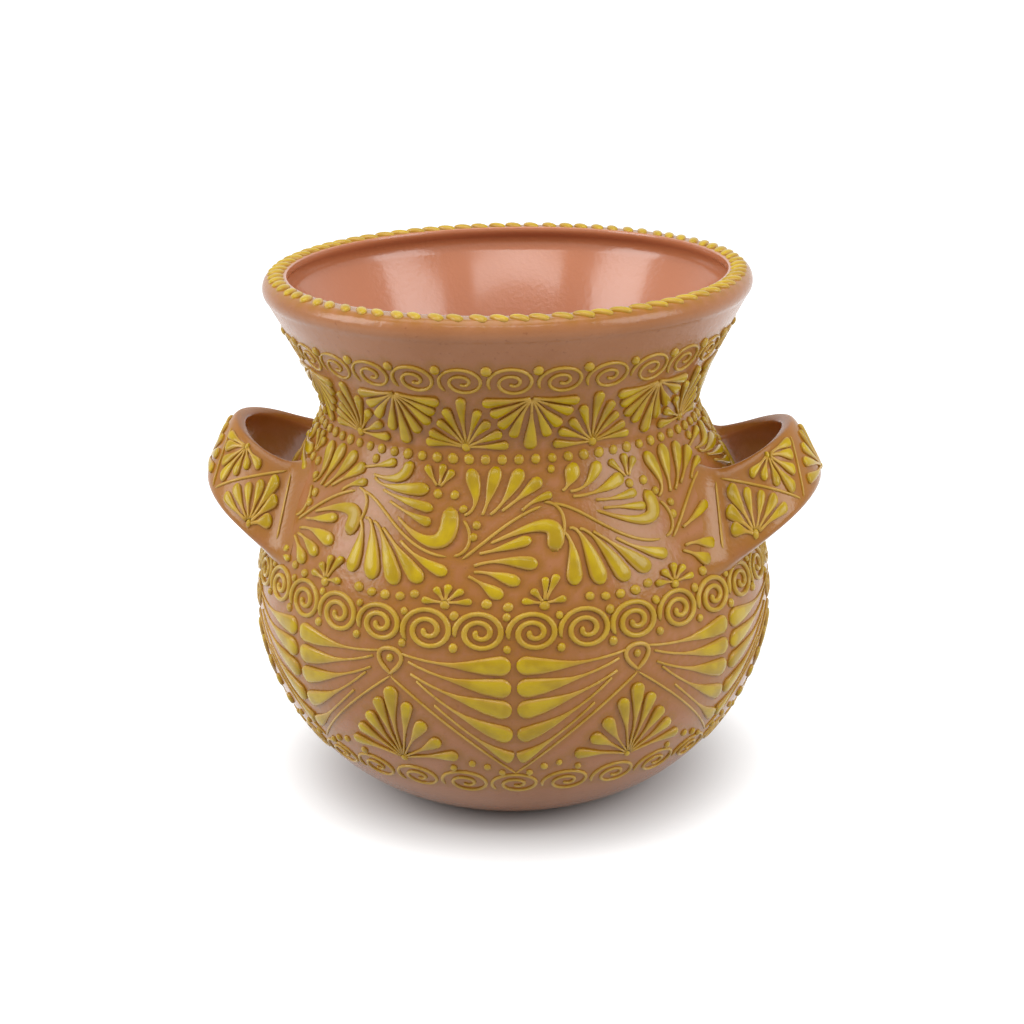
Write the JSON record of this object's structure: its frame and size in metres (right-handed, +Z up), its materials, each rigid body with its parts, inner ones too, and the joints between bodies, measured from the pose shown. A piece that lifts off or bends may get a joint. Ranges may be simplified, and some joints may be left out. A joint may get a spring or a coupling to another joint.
{
  "type": "flower pot",
  "caption": "Round-bellied glazed earthenware flower pot with a waisted neck, rope-edged lip, two strap handles and raised slip-trailed ornament.",
  "frame": {"origin": "middle of the flat foot, on the ground", "axes": "X from the left handle to the right handle, Y from front to back, Z up along the pot's axis"},
  "size_m": [0.306, 0.2594, 0.261],
  "materials": {
    "glazed_clay": "clear glaze over pinkish-brown earthenware",
    "trailed_slip": "raised tan slip lines under clear glaze",
    "yellow_slip": "raised yellow slip petals and dots under clear glaze"
  },
  "bodies": {
    "root": {"body": "glazed_clay", "rim_rope": "yellow_slip", "handle_right": "glazed_clay", "handle_left": "glazed_clay", "neck_spirals": "trailed_slip", "neck_dots": "yellow_slip", "neck_hanging_fans": "yellow_slip", "neck_standing_fans": "yellow_slip", "neck_fan_dots": "yellow_slip", "collar_dots": "yellow_slip", "shoulder_plumes": "yellow_slip", "shoulder_stems": "trailed_slip", "shoulder_buds": "yellow_slip", "shoulder_dots": "yellow_slip", "belly_spirals": "trailed_slip", "belly_dots": "yellow_slip", "belly_lattice": "trailed_slip", "belly_feathers": "yellow_slip", "belly_fans": "yellow_slip", "base_spirals": "trailed_slip", "base_dots": "yellow_slip", "handle_right_trim": "yellow_slip", "handle_left_trim": "yellow_slip"}
  },
  "joints": []
}
